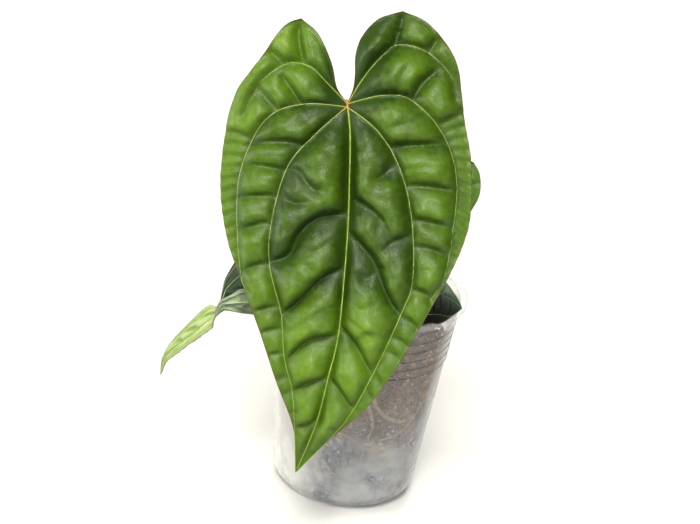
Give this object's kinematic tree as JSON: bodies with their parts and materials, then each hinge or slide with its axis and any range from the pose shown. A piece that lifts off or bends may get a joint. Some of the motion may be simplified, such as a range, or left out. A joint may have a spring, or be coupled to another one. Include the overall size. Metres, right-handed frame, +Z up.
{
  "type": "potted anthurium",
  "caption": "Young anthurium with quilted heart-shaped leaves on slim stalks, standing in chunky growing mix in a tapered clear plastic growing pot.",
  "frame": {"origin": "centre of the pot's flat underside", "axes": "+Z up along the pot's axis, -Y towards the viewer, which the large leaf faces, and +X to the viewer's right"},
  "size_m": [0.1598, 0.1434, 0.2768],
  "materials": {
    "clear_plastic": "thin, clear, slightly hazy moulded polypropylene",
    "growing_mix": "moist bark, fibre and pale mineral lumps",
    "stem": "dull green stem with papery leaf scars",
    "stalk": "smooth satin green stalk",
    "leaf_green": "quilted leathery leaf, glossy above and matt below",
    "leaf_young": "thin young lime-green leaf, satin",
    "leaf_dark": "dark green leathery leaf, satin"
  },
  "bodies": {
    "root": {"pot": "clear_plastic", "soil": "growing_mix", "stem": "stem", "petiole_front": "stalk", "petiole_back": "stalk", "petiole_left": "stalk", "petiole_right": "stalk", "leaf_front": "leaf_green", "leaf_back": "leaf_green", "leaf_left": "leaf_young", "leaf_right": "leaf_dark"}
  },
  "joints": []
}
